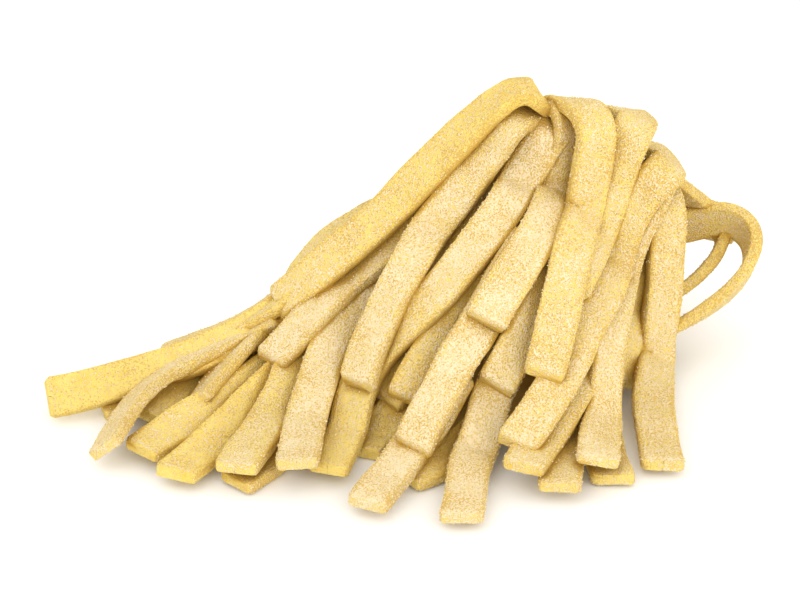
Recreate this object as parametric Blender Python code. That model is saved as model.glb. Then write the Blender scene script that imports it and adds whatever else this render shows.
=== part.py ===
"""A bundle of dry, broad, flat egg noodles, folded over a ridge and left as a loose heap.

Lengths are in millimetres until the last step, which writes the mesh in metres. X runs along the
heap, from its low tail to its steep shoulder, -Y is the front, and +Z is up.
Every noodle is a flat ribbon laid on the ones before it, so the tables are in the order of the
pile, from the table up. The ribbons and the mound that fills the heap end as one closed solid.
"""

import math
import random

import bmesh
import bpy
from mathutils import Quaternion, Vector
from mathutils.bvhtree import BVHTree

METRE = 0.001
NOODLE_WIDTH = 8.0
NOODLE_THICKNESS = 2.6

# How a ribbon is laid.
PRESSED_IN = 0.35          # how far a ribbon sinks into what it lies on, so that the two join
ROUTE_STEP = 2.0           # spacing of the points where a ribbon feels the pile
MESH_STRIDE = 4            # every fourth of those points carries a cross-section
FEELERS = (-1.0, -0.5, 0.0, 0.5, 1.0)   # where, across its half width, it feels the pile
FEELER_REACH = 0.94        # how close to its edges the outer two are
FEELER_HEIGHT = 160.0      # how far out of the pile they start
EDGE_ON = 0.45             # a face seen flatter than this counts as seen this flat
SETTLING_ROUNDS = 40       # how far a ribbon's stiffness evens out the bumps below it
STEEPEST_LEAN = 0.30       # most sideways slope that a ribbon takes from the ones below
LEAN_ROUNDS = 8            # how much that slope is evened out along the ribbon
USUAL_FACING = (0.3, 0.8)  # how far a foot and a crest turn from the slope towards the eye
MOST_LIFT = 15.0           # how far towards the eye a ribbon may be raised by those below it
LIFT_AT_CREST = 6.0        # the same, at the top of a leg
LIFT_EASES_OVER = 35.0     # length of leg over which the one grows into the other
CREST_PASS = 3.0           # how far past the ridge a leg's top may lie, seen from its own side
USUAL_BEND = 3.0           # radius of the fold at the crest
BEND_TURN = math.radians(95.0)
BEND_STEPS = 4
TURN_CURVE = 3             # how late a leg's own turn comes, towards its crest
FLOOR_STEP = 0.012         # keeps the undersides of ribbons on the table off one common plane
SHORTEST_EDGE = 0.02       # slivers that the joining leaves are closed up to this size

# Two drawings of the heap, from 27 degrees above the table: one from the front and one from the
# back. Points on a drawing are (across, up), measured from the point that the eye aims at.
SIGHT_ELEVATION = math.radians(27.0)
SIGHT_DISTANCE = 450.0
AIM_REACH = 25.0
AIM_HEIGHT = 28.0
SIGHT_NEAREST = 90.0       # where the search along a sight line starts and how finely it goes
SIGHT_STEP = 0.5
SIGHT_STEPS = 400
FRONT, BACK = -1, 1

# The middle of the finished heap, where its origin is set down.
MIDDLE = Vector((1.6, -1.3, 0.0))

# The mound inside the heap: (x, height, reach to the front and to the back).
MOUND_SECTIONS = (
    (-54, 0.6, 4), (-42, 4, 10), (-28, 9, 20), (-12, 18, 29), (5, 30, 35), (23, 41, 37),
    (36, 37, 30), (44, 26, 19), (50, 13, 11), (54, 2, 6),
)
MOUND_TOP_ROUNDNESS = 0.28
MOUND_STATIONS = 15
MOUND_PROFILE_POINTS = 11
MOUND_THINNEST = 0.4

# Loops that stand out from the steep shoulder: the middle line as (across, up) on the front
# drawing with the depth behind the middle, and the direction of the width at the start, the
# middle and the end.
SHOULDER_LOOPS = (
    dict(line=((46, 27, 6), (52, 24.4, 9), (57.4, 20.4, 13), (61.5, 16.6, 17), (64, 12.6, 19)),
         across=((0.2, -0.8, 0.5), (0.2, -0.75, 0.6), (0.1, -0.6, 0.7))),
    dict(line=((56, 16, 19), (61, 16.6, 18.6), (64.6, 14.8, 17), (64.6, 11.6, 14.4),
               (62.8, 8.2, 11.4), (60.4, 5.4, 8.4), (57.6, 3, 5.6), (53, 0.4, 2.6), (48, -1.6, 0)),
         across=((0, 0, 1), (0.1, -0.75, 0.65), (0.1, -0.9, 0.45))),
    dict(line=((50, 14, 15), (57, 15, 14), (62.8, 16, 13), (67.4, 15.4, 11.4), (70.2, 12.6, 8.6),
               (70.4, 8.8, 5.6), (68.6, 4.8, 3), (64.8, 0.8, 1), (60, -2.6, -1), (55, -5.4, -2.4),
               (49, -7.4, -4)),
         across=((0, -0.05, 1), (0.1, -0.5, 0.85), (0.1, -0.9, 0.45))),
)

# A leg is drawn from its cut end up to the crest where it is a 'front' one, and from the crest
# down to its cut end where it is a 'back' one. A noodle with both folds over the crest, with the
# radius 'bend', and one that has a bend but no back leg is tucked into the pile. 'facing', as in
# USUAL_FACING, and 'turn', in degrees about its own length, are the front leg's at the cut end
# and at the crest. 'lift' is its own LIFT_AT_CREST.

# Legs that run out along the heap's two ends.
END_LEGS = (
    dict(back=((30, 26), (8, 12), (-12, 1), (-28, -6), (-42, -13))),
    dict(back=((26, 28), (6, 15), (-11, 4), (-25, -4.4))),
    dict(back=((24, 30), (6, 13), (-8, -1), (-22, -12), (-34, -18.5))),
    dict(back=((22, 31), (7, 15), (-4, 0), (-15, -13), (-26, -22.5))),
    dict(back=((24, 33), (11, 16), (1, 0), (-8, -14), (-17, -27))),
    dict(back=((44, 22), (50, 8), (52, -8), (50, -24))),
    dict(back=((40, 26), (47, 14), (50, 0), (51, -16))),
)

# Legs of the back, fanned out evenly between two feet.
BACK_LEG_COUNT = 13
BACK_FEET = (-14.0, 46.0)
BACK_TOPS = (16.0, 54.0)
BACK_PEAK = (0.45, 36.0, 34.0)     # where the crest is highest, how high, and how it falls off
BACK_LOWEST = -40.0
BACK_TAIL_RISE = 26.0
BACK_SPREAD = 14.0
BACK_BOW = 4.0
BACK_ORDER = 5                     # neighbours lie this many turns apart in the pile
BACK_SEED = 11

# Ends and short stretches that show between the upper noodles.
LOWER_LEGS = (
    dict(front=((-33, -36.6), (-28, -33), (-22, -28))),
    dict(front=((1, -35.5), (7, -33), (13, -29), (17, -25))),
    dict(front=((-7.6, -30.6), (-4, -26), (1, -20), (6, -13))),
    dict(front=((-60, -20.6), (-53, -19.5), (-45, -17), (-36, -13)), facing=(0.6, 0.4)),
    dict(front=((-50, -23.6), (-45, -18.6), (-38, -13.5), (-29, -8))),
    dict(front=((45.6, -17), (46.2, -8), (47.6, 0), (49.6, 9), (51.6, 15))),
    dict(front=((42.8, -36), (41, -31), (40, -25), (40.6, -15), (42.6, -4))),
    dict(front=((31.8, -37.6), (32.6, -32.4), (34, -26.4), (37, -17), (41, -7))),
    dict(front=((-3, -20), (0.5, -15.6), (5, -9), (11, -1), (18, 9))),
    dict(front=((1, -20), (4.5, -13.5), (9, -6.5), (15, 1.5), (22, 11))),
    dict(front=((-7, -41), (-2.4, -35.6), (2, -30), (6.5, -23), (12, -14))),
)

# Legs that run out to the tail.
TAIL_LEGS = (
    dict(front=((-41, -21), (-38.6, -18), (-35, -13.2), (-31, -8.6), (-25.6, -3.6), (-17, 3)),
         turn=(-52, -40), lift=12),
    dict(front=((-52, -30.2), (-47, -27.2), (-40, -23), (-33, -19), (-26, -14), (-18, -7))),
    dict(front=((-48, -11), (-40, -8.4), (-34, -6), (-28, -3), (-22.8, 0.9), (-19, 6.1),
                (-14.9, 10.8), (-10, 14.2), (-4.4, 16.8), (1, 20), (8, 25)), turn=(-20, -10)),
    dict(front=((-70.4, -19.6), (-62, -17.8), (-54, -15.6), (-46, -13), (-37, -9.8), (-29, -6),
                (-21, -1)), facing=(1, 0.5), lift=15),
    dict(front=((-59, -29.8), (-55.4, -23.6), (-50.4, -17.6), (-44, -12.8), (-38, -9.8),
                (-32, -6.8), (-25, -2.5)), turn=(-50, -50), lift=15),
    dict(front=((-45, -35), (-40, -30.8), (-34.4, -25.6), (-28.6, -20), (-22, -13), (-16, -6))),
    dict(front=((-33, -33.8), (-27.8, -26.6), (-24, -19.6), (-20.4, -12), (-16, -4), (-10, 4))),
)

# The upper noodles of the front.
UPPER_LEGS = (
    dict(front=((24.4, -33.6), (29.6, -26.4), (34, -19), (38, -11), (42, -2))),
    dict(front=((52.6, -33.2), (51, -24), (50.6, -16), (51.6, -7), (53, 3), (53.4, 11),
                (53.2, 18.4)), bend=2.6,
         back=((52, 20), (52, 8), (51, -8), (49, -26))),
    dict(front=((39.4, -32.4), (40.2, -24), (40.8, -16), (41.6, -7), (43.4, 3), (46, 12), (50, 21),
                (52, 26))),
    dict(front=((12.2, -43.8), (13, -39), (14.2, -33), (16.2, -26), (19, -18), (23.4, -8),
                (29, 3))),
    dict(front=((-6, -10), (1, 0), (6, 7), (11.4, 14.4), (16.6, 21.6), (20.6, 28.4), (22.6, 33)),
         back=((24, 32), (20, 14), (10, -4), (2, -20))),
    dict(front=((2.2, -29.4), (6, -22.2), (9.6, -15.6), (14.4, -7), (20.5, 3), (27, 13))),
    dict(front=((19, -17.4), (23, -10), (27, -2), (30.4, 7), (33, 16), (35, 26))),
    dict(front=((17, -4.4), (20.4, 1), (24.4, 7.6), (28.2, 14), (31.6, 22), (33.6, 29),
                (34.4, 33)), turn=(0, 40), bend=4.4,
         back=((31, 32), (33, 22), (34, 4), (30, -16), (26, -38))),
    dict(front=((-14.6, -34), (-11, -27), (-9, -19.5), (-5.4, -12), (1.5, -4.4), (10, 4), (20, 17),
                (26, 26.6), (28.8, 31.4)), bend=3.2),
    dict(front=((-20.6, -33), (-19.2, -26), (-17, -17), (-13.4, -8), (-8, 0.5), (0, 10))),
    dict(front=((-26, -12), (-22.6, -8.6), (-17.6, -3), (-11, 3.2), (-3.6, 9.6), (4, 17),
                (12, 26))),
    dict(front=((23.4, -29.2), (28, -22.2), (32.6, -14.6), (37.6, -5), (41.4, 4), (44.4, 12.4),
                (47.4, 19), (49.8, 22.8), (51.4, 24.6)), bend=2.8,
         back=((48, 25), (46, 14), (40, -6), (36, -28))),
    dict(front=((-8.6, -16.8), (-5.6, -8), (-1.6, 1), (4, 11), (10.4, 19.6), (16.6, 28),
                (21.4, 35)),
         back=((22, 37), (15, 24), (8, 8), (0, -10), (-8, -30))),
    dict(front=((34, 2), (38, 10), (41.4, 19), (43.8, 27), (45.4, 31.2), (46.1, 33)), bend=2.8,
         back=((45, 31), (47, 20), (48, 2), (45, -20))),
    dict(front=((-24.6, -1.4), (-19.4, 3), (-13, 8.4), (-3.6, 16.8), (2.6, 23), (12.4, 33),
                (18.4, 38.8), (22.6, 41.6)), facing=(0.8, 1), turn=(0, -50), bend=3.2,
         back=((28, 34), (27, 24), (22, 8), (16, -10), (10, -30))),
    dict(front=((28.6, -15), (30.2, -9), (32.4, 0), (34.6, 10), (37, 20), (38.6, 27),
                (39.2, 31.6)), turn=(0, 35), lift=11, bend=5.2,
         back=((31, 33), (23, 20), (10, 6), (-2, -12), (-8, -30))),
)

PASTA_COLOUR = (0.87, 0.66, 0.30, 1.0)
PASTA_ROUGHNESS = 0.85


def clear_scene():
    for old in list(bpy.data.objects):
        bpy.data.objects.remove(old)


def catmull_rom(before, start, end, after, t):
    """The point at t, from 0 to 1, between start and end on a smooth curve through all four."""
    return 0.5 * (
        2 * start
        + (end - before) * t
        + (2 * before - 5 * start + 4 * end - after) * t * t
        + (3 * start - before - 3 * end + after) * t ** 3
    )


def smooth_curve(points, step):
    """Points about a step apart on a smooth curve through the given ones, ends included."""
    points = [Vector(p) for p in points]
    ends = [2 * points[0] - points[1]] + points + [2 * points[-1] - points[-2]]
    dense = []
    for i in range(1, len(ends) - 2):
        dense += [catmull_rom(*ends[i - 1:i + 3], k / 20) for k in range(20)]
    dense.append(points[-1])
    travelled = [0.0]
    for a, b in zip(dense, dense[1:]):
        travelled.append(travelled[-1] + (b - a).length)
    count = max(2, round(travelled[-1] / step))
    found, i = [], 0
    for k in range(count + 1):
        wanted = travelled[-1] * k / count
        while i < len(dense) - 2 and travelled[i + 1] < wanted:
            i += 1
        share = (wanted - travelled[i]) / max(travelled[i + 1] - travelled[i], 1e-9)
        found.append(dense[i].lerp(dense[i + 1], min(share, 1.0)))
    return found


def tangents(points):
    last = len(points) - 1
    return [(points[min(i + 1, last)] - points[max(i - 1, 0)]).normalized()
            for i in range(last + 1)]


def evened(values, rounds):
    """The values after each has been mixed with its neighbours that many times."""
    for _ in range(rounds):
        values = [(values[max(i - 1, 0)] + 2 * v + values[min(i + 1, len(values) - 1)]) / 4
                  for i, v in enumerate(values)]
    return values


def mound_section(x):
    """Height and reach of the mound at x."""
    xs = [section[0] for section in MOUND_SECTIONS]
    if not xs[0] < x < xs[-1]:
        return 0.0, 1.0
    i = max(k for k in range(len(xs) - 1) if xs[k] <= x)
    rows = [Vector(MOUND_SECTIONS[min(max(k, 0), len(xs) - 1)][1:]) for k in range(i - 1, i + 3)]
    height, reach = catmull_rom(*rows, (x - xs[i]) / (xs[i + 1] - xs[i]))
    return max(height, 0.0), max(reach, 1.0)


def mound_height(x, y):
    height, reach = mound_section(x)
    r = MOUND_TOP_ROUNDNESS
    slope = (math.hypot(y / reach, r) - r) / (math.hypot(1.0, r) - r)
    return max(height * (1.0 - slope), 0.0)


def mound_normal(x, y):
    """Which way the mound's skin faces, evened out over a noodle's width."""
    d = NOODLE_WIDTH / 2
    along = (mound_height(x + d, y) - mound_height(x - d, y)) / (2 * d)
    over = (mound_height(x, y + d) - mound_height(x, y - d)) / (2 * d)
    return Vector((-along, -over, 1.0)).normalized()


def build_mound():
    """The mound, as a loft of its sections over a flat base."""
    mesh = bmesh.new()
    first, last = MOUND_SECTIONS[0][0] + 1.0, MOUND_SECTIONS[-1][0] - 1.0
    edges = (0, MOUND_PROFILE_POINTS - 1)
    rings = []
    for i in range(MOUND_STATIONS):
        x = first + (last - first) * i / (MOUND_STATIONS - 1)
        reach = mound_section(x)[1]
        ring = []
        for k in range(MOUND_PROFILE_POINTS):
            y = -reach * math.cos(math.pi * k / edges[1])
            z = 0.0 if k in edges else max(mound_height(x, y), MOUND_THINNEST)
            ring.append(mesh.verts.new((x, y, z)))
        rings.append(ring)
    loft(mesh, rings)
    return mesh


def loft(mesh, rings):
    """Joins rings of points into a closed skin with a flat face on each end."""
    count = len(rings[0])
    for near, far in zip(rings, rings[1:]):
        for k in range(count):
            n = (k + 1) % count
            mesh.faces.new((near[k], near[n], far[n], far[k]))
    mesh.faces.new(list(reversed(rings[0])))
    mesh.faces.new(rings[-1])
    bmesh.ops.recalc_face_normals(mesh, faces=mesh.faces)
    bmesh.ops.triangulate(mesh, faces=mesh.faces)


def sight(side):
    """Aim point, up direction and direction to the eye of the drawing from that side."""
    aim = Vector((0.0, side * AIM_REACH, AIM_HEIGHT))
    up = Vector((0.0, -side * math.sin(SIGHT_ELEVATION), math.cos(SIGHT_ELEVATION)))
    to_eye = Vector((0.0, side * math.cos(SIGHT_ELEVATION), math.sin(SIGHT_ELEVATION)))
    return aim, up, to_eye


def drawn_point(across, up, nearness, side):
    """The point that a drawing shows at (across, up), at that nearness to the eye."""
    aim, up_axis, to_eye = sight(side)
    shrink = (SIGHT_DISTANCE - nearness) / SIGHT_DISTANCE
    return aim + Vector((across * shrink, 0, 0)) + up_axis * (up * shrink) + to_eye * nearness


def at_depth(across, up, depth):
    """The point of the front drawing that lies that far behind the middle."""
    aim, up_axis, to_eye = sight(FRONT)
    eye = aim + to_eye * SIGHT_DISTANCE
    seen = aim + Vector((across, 0, 0)) + up_axis * up
    return eye + (seen - eye) * ((depth - eye.y) / (seen.y - eye.y))


def onto_mound(across, up, side):
    """Where the sight line through a drawn point meets the mound, or passes closest over it."""
    closest, clearance = None, math.inf
    for step in range(SIGHT_STEPS):
        point = drawn_point(across, up, SIGHT_NEAREST - SIGHT_STEP * step, side)
        if point.y * side < -CREST_PASS:
            break
        gap = point.z - mound_height(point.x, point.y)
        if gap < clearance:
            closest, clearance = point, gap
        if gap <= 0:
            break
    return closest


def outward(point, side):
    aim, _, to_eye = sight(side)
    return (aim + to_eye * SIGHT_DISTANCE - point).normalized()


def clearances(point, out, width, tangent, pile):
    """How far, at each feeler, a ribbon on this point has to move out to lie on the pile."""
    flatness = max(abs(width.cross(tangent).dot(out)), EDGE_ON)
    depth = 0.5 * NOODLE_THICKNESS / flatness - PRESSED_IN
    found = []
    for feeler in FEELERS:
        sample = point + width * (feeler * FEELER_REACH * NOODLE_WIDTH / 2)
        hit = pile.ray_cast(sample + out * FEELER_HEIGHT, -out)[0]
        found.append((hit - sample).dot(out) + depth)
    return found


def lifts(needed):
    """The lift along a stiff ribbon that needs at least this much at each point."""
    lift = list(needed)
    for _ in range(SETTLING_ROUNDS):
        lift = [max(need, (lift[max(i - 1, 0)] + lift[min(i + 1, len(lift) - 1)]) / 2)
                for i, need in enumerate(needed)]
    return evened(lift, 2)


def framed(points, widths):
    """Each point with the direction of the ribbon's width and of its face."""
    frames = []
    for point, tangent, width in zip(points, tangents(points), widths):
        width = (width - tangent * width.dot(tangent)).normalized()
        frames.append((point, width, width.cross(tangent)))
    return frames


def lay_leg(drawn, side, facing, turn, lift_at_crest, pile):
    """The frames of one leg, lifted towards the eye until it clears the pile."""
    base = [onto_mound(across, up, side)
            for across, up, _ in smooth_curve([(*p, 0) for p in drawn], ROUTE_STEP)]
    outs = [outward(point, side) for point in base]
    faces = [mound_normal(p.x, p.y) for p in base]
    faces = [Vector(f) for f in zip(*(evened([n[axis] for n in faces], 6) for axis in range(3)))]
    last = len(base) - 1
    from_foot = [i / last if side == FRONT else 1 - i / last for i in range(last + 1)]
    widths, needs = [], []
    for point, out, tangent, face, share in zip(base, outs, tangents(base), faces, from_foot):
        seen = facing[0] + (facing[1] - facing[0]) * share
        flat = tangent.cross(face.lerp(out, seen)).normalized()
        angle = math.radians(turn[0] + (turn[1] - turn[0]) * share ** TURN_CURVE)
        widths.append(Quaternion(tangent, angle) @ flat)
        needs.append(clearances(point, out, widths[-1], tangent, pile))
    leans = [min(max((row[-1] - row[0]) / NOODLE_WIDTH, -STEEPEST_LEAN), STEEPEST_LEAN)
             for row in needs]
    leans = evened(leans, LEAN_ROUNDS)
    needed = []
    for row, lean, share in zip(needs, leans, from_foot):
        below_top = min(ROUTE_STEP * last * (1 - share) / LIFT_EASES_OVER, 1.0)
        most = lift_at_crest + (MOST_LIFT - lift_at_crest) * below_top
        need = max(n - lean * f * NOODLE_WIDTH / 2 for n, f in zip(row, FEELERS))
        needed.append(min(max(need, 0.0), most))
    points = [p + out * lift for p, out, lift in zip(base, outs, lifts(needed))]
    return framed(points, [w + out * lean for w, out, lean in zip(widths, outs, leans)])


def fold_over(front, back, radius):
    """The frames over the crest: a round bend, then an easy run to the leg behind, if any."""
    start, width, face = front[-1]
    rise = face.cross(width)
    points, widths = [], []
    for k in range(1, BEND_STEPS + 1):
        angle = BEND_TURN * k / BEND_STEPS
        points.append(start + rise * (radius * math.sin(angle))
                      - face * (radius * (1 - math.cos(angle))))
        widths.append(width)
    if not back:
        return framed([start, *points], [width, *widths])[1:]
    top, end, last_width = points[-1], back[0][0], back[0][1]
    away = rise * math.cos(BEND_TURN) - face * math.sin(BEND_TURN)
    fall = (back[2][0] - end).normalized()
    span = (end - top).length
    steps = max(2, round(span / ROUTE_STEP))
    for k in range(1, steps):
        t = k / steps
        points.append(top * (2 * t ** 3 - 3 * t * t + 1) + end * (3 * t * t - 2 * t ** 3)
                      + away * span * (t ** 3 - 2 * t * t + t) + fall * span * (t ** 3 - t * t))
        widths.append(width.lerp(last_width, t))
    return framed([start, *points, end], [width, *widths, last_width])[1:-1]


def lay_noodle(noodle, pile):
    facing, turn = noodle.get("facing", USUAL_FACING), noodle.get("turn", (0, 0))
    lift = noodle.get("lift", LIFT_AT_CREST)
    front, back, over = [], [], []
    if "front" in noodle:
        front = lay_leg(noodle["front"], FRONT, facing, turn, lift, pile)
    if "back" in noodle:
        back = lay_leg(noodle["back"], BACK, USUAL_FACING, (0, 0), LIFT_AT_CREST, pile)
    if "bend" in noodle or (front and back):
        over = fold_over(front, back, noodle.get("bend", USUAL_BEND))
    return front + over + back


def stand_loop(loop):
    """The frames of a loop that stands free."""
    points = smooth_curve([at_depth(*point) for point in loop["line"]], ROUTE_STEP)
    start, middle, end = (Vector(direction) for direction in loop["across"])
    widths = []
    for i in range(len(points)):
        t = 2 * i / (len(points) - 1)
        widths.append(start.lerp(middle, t) if t < 1 else middle.lerp(end, t - 1))
    return framed(points, widths)


def back_legs():
    draw = random.Random(BACK_SEED)
    peak_at, peak, fall_off = BACK_PEAK
    legs = []
    for i in range(BACK_LEG_COUNT):
        share = (i * BACK_ORDER % BACK_LEG_COUNT) / (BACK_LEG_COUNT - 1)
        foot = BACK_FEET[0] + (BACK_FEET[1] - BACK_FEET[0]) * share
        top = BACK_TOPS[0] + (BACK_TOPS[1] - BACK_TOPS[0]) * share
        height = peak - abs(share - peak_at) * fall_off
        low = BACK_LOWEST + BACK_TAIL_RISE * (1 - share) ** 2 + draw.uniform(0, BACK_SPREAD)
        bow = draw.uniform(-BACK_BOW, BACK_BOW)
        upper = (0.25 * foot + 0.75 * top + 0.6 * bow, 0.25 * low + 0.75 * height)
        lower = (0.62 * foot + 0.38 * top + bow, 0.62 * low + 0.38 * height)
        legs.append(dict(back=((top, height), upper, lower, (foot, low))))
    return legs


def ribbon(frames, floor):
    """A flat ribbon with four sides and square ends, kept above the floor."""
    picked = frames[:-1:MESH_STRIDE]
    if (len(frames) - 1) % MESH_STRIDE in range(1, MESH_STRIDE // 2):
        picked = picked[:-1]
    mesh = bmesh.new()
    rings = []
    for point, width, face in picked + [frames[-1]]:
        ring = []
        for w, f in ((-0.5, -0.5), (0.5, -0.5), (0.5, 0.5), (-0.5, 0.5)):
            corner = point + width * (w * NOODLE_WIDTH) + face * (f * NOODLE_THICKNESS)
            corner.z = max(corner.z, floor)
            ring.append(mesh.verts.new(corner))
        rings.append(ring)
    loft(mesh, rings)
    return mesh


def add_to(pile, mesh):
    data = bpy.data.meshes.new("laid")
    mesh.to_mesh(data)
    pile.from_mesh(data)
    bpy.data.meshes.remove(data)


def lay_everything():
    """The mound and every ribbon, in the order of the pile."""
    pile = bmesh.new()
    table = bmesh.ops.create_grid(pile, x_segments=1, y_segments=1, size=400)
    bmesh.ops.translate(pile, verts=table["verts"], vec=(0, 0, 0.4 * PRESSED_IN))
    laid = [build_mound()]
    add_to(pile, laid[0])
    for loop in SHOULDER_LOOPS:
        laid.append(ribbon(stand_loop(loop), FLOOR_STEP * len(laid)))
        add_to(pile, laid[-1])
    for noodle in (*END_LEGS, *back_legs(), *LOWER_LEGS, *TAIL_LEGS, *UPPER_LEGS):
        frames = lay_noodle(noodle, BVHTree.FromBMesh(pile))
        laid.append(ribbon(frames, FLOOR_STEP * len(laid)))
        add_to(pile, laid[-1])
    return laid


def object_of(name, mesh):
    data = bpy.data.meshes.new(name)
    mesh.to_mesh(data)
    made = bpy.data.objects.new(name, data)
    bpy.context.scene.collection.objects.link(made)
    return made


def join(parts):
    """Joins the parts into the first of them with one Boolean union, and removes the rest."""
    group = bpy.data.collections.new("to_join")
    bpy.context.scene.collection.children.link(group)
    for part in parts[1:]:
        group.objects.link(part)
    whole = parts[0]
    joining = whole.modifiers.new("join", "BOOLEAN")
    joining.operation = "UNION"
    joining.operand_type = "COLLECTION"
    joining.collection = group
    joined = whole.evaluated_get(bpy.context.evaluated_depsgraph_get())
    data = bpy.data.meshes.new_from_object(joined)
    whole.modifiers.remove(joining)
    whole.data = data
    for part in parts[1:]:
        bpy.data.objects.remove(part)
    bpy.data.collections.remove(group)
    return whole


def keep_largest_body(mesh):
    """Drops loose scraps and fills the hollows that joining has sealed."""
    unseen = set(mesh.faces)
    bodies = []
    while unseen:
        body, front = [], [unseen.pop()]
        while front:
            face = front.pop()
            body.append(face)
            for edge in (e for e in face.edges if len(e.link_faces) == 2):
                for other in edge.link_faces:
                    if other in unseen:
                        unseen.discard(other)
                        front.append(other)
        bodies.append(body)
    bodies.sort(key=lambda body: -sum(face.calc_area() for face in body))
    for body in bodies[1:]:
        bmesh.ops.delete(mesh, geom=body, context="FACES")
    loose = [v for v in mesh.verts if not v.link_faces]
    bmesh.ops.delete(mesh, geom=loose, context="VERTS")


def mergeable(edge):
    """Whether the ends of this edge can become one point with the surface still closed."""
    one, other = edge.verts
    beside_one = {e.other_vert(one) for e in one.link_edges}
    beside_other = {e.other_vert(other) for e in other.link_edges}
    return len(beside_one & beside_other) == 2


def close_slivers(mesh):
    """Merges the ends of very short edges, where that leaves the surface closed."""
    bmesh.ops.triangulate(mesh, faces=mesh.faces)
    while True:
        short = [e for e in mesh.edges if e.calc_length() < SHORTEST_EDGE and mergeable(e)]
        if not short:
            return
        one, other = short[0].verts
        bmesh.ops.pointmerge(mesh, verts=[one, other], merge_co=(one.co + other.co) / 2)


def pasta():
    material = bpy.data.materials.new("dry_pasta")
    material.use_nodes = True
    shader = material.node_tree.nodes["Principled BSDF"]
    shader.inputs["Base Color"].default_value = PASTA_COLOUR
    shader.inputs["Roughness"].default_value = PASTA_ROUGHNESS
    shader.inputs["Metallic"].default_value = 0.0
    return material


def main():
    clear_scene()
    laid = lay_everything()
    bundle = join([object_of(f"noodle_{i:02d}", mesh) for i, mesh in enumerate(laid)])
    bundle.name = "noodle_bundle"
    bundle.data.name = "noodle_bundle"
    mesh = bmesh.new()
    mesh.from_mesh(bundle.data)
    close_slivers(mesh)
    keep_largest_body(mesh)
    for vertex in mesh.verts:
        vertex.co = (vertex.co - MIDDLE) * METRE
    mesh.to_mesh(bundle.data)
    bundle.data.materials.clear()
    bundle.data.materials.append(pasta())
    lows = [min(v.co[axis] for v in mesh.verts) / METRE for axis in range(3)]
    highs = [max(v.co[axis] for v in mesh.verts) / METRE for axis in range(3)]
    print("low corner", [round(v, 2) for v in lows], "high corner", [round(v, 2) for v in highs])


if __name__ == "__main__":
    main()
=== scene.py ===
import math
import random

import bmesh
import bpy
import numpy as np
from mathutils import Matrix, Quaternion, Vector, noise
from mathutils.bvhtree import BVHTree


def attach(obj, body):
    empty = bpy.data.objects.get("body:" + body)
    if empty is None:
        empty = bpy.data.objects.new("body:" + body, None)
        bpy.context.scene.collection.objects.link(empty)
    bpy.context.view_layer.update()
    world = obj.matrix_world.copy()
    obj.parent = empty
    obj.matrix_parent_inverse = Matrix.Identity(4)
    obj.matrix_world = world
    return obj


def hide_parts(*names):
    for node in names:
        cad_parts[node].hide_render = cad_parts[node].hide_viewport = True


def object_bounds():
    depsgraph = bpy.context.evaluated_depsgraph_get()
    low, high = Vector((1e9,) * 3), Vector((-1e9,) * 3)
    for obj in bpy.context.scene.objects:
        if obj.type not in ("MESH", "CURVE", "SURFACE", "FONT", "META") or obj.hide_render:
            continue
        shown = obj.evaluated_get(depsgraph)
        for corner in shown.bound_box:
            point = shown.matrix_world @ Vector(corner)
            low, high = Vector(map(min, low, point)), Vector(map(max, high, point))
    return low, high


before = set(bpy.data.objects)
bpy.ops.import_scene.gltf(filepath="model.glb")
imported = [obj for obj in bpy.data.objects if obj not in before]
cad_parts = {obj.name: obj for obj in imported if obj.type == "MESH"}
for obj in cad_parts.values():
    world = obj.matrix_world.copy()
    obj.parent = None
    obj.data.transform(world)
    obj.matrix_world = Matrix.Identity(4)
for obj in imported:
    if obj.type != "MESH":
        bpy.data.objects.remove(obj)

cadLow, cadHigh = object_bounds()
mm = 0.001
middle = Vector((1.6, -1.3, 0.0))     # of the finished heap, where the frame's origin is


# curves and the mound

def catmullRom(before, start, end, after, t):
    return 0.5 * (
        2 * start
        + (end - before) * t
        + (2 * before - 5 * start + 4 * end - after) * t * t
        + (3 * start - before - 3 * end + after) * t ** 3
    )


def smoothCurve(points, step, splits=20):
    points = [Vector(p) for p in points]
    ends = [2 * points[0] - points[1]] + points + [2 * points[-1] - points[-2]]
    dense = []
    for i in range(1, len(ends) - 2):
        dense += [catmullRom(*ends[i - 1:i + 3], k / splits) for k in range(splits)]
    dense.append(points[-1])
    travelled = [0.0]
    for a, b in zip(dense, dense[1:]):
        travelled.append(travelled[-1] + (b - a).length)
    count = max(2, round(travelled[-1] / step))
    found, i = [], 0
    for k in range(count + 1):
        wanted = travelled[-1] * k / count
        while i < len(dense) - 2 and travelled[i + 1] < wanted:
            i += 1
        share = (wanted - travelled[i]) / max(travelled[i + 1] - travelled[i], 1e-9)
        found.append(dense[i].lerp(dense[i + 1], min(share, 1.0)))
    return found


def tangentsOf(points):
    last = len(points) - 1
    return [(points[min(i + 1, last)] - points[max(i - 1, 0)]).normalized()
            for i in range(last + 1)]


def evened(values, rounds):
    for _ in range(rounds):
        values = [(values[max(i - 1, 0)] + 2 * v + values[min(i + 1, len(values) - 1)]) / 4
                  for i, v in enumerate(values)]
    return values


moundShape = {
    "sections": (                      # x, height, reach to the front and back
        (-54, 0.6, 4), (-42, 4, 10), (-28, 9, 20), (-12, 18, 29), (5, 30, 35),
        (23, 41, 37), (36, 37, 30), (44, 26, 19), (50, 13, 11), (54, 2, 6),
    ),
    "topRoundness": 0.28,
    "stations": 15,
    "profilePoints": 11,
    "thinnest": 0.4,
}


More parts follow.
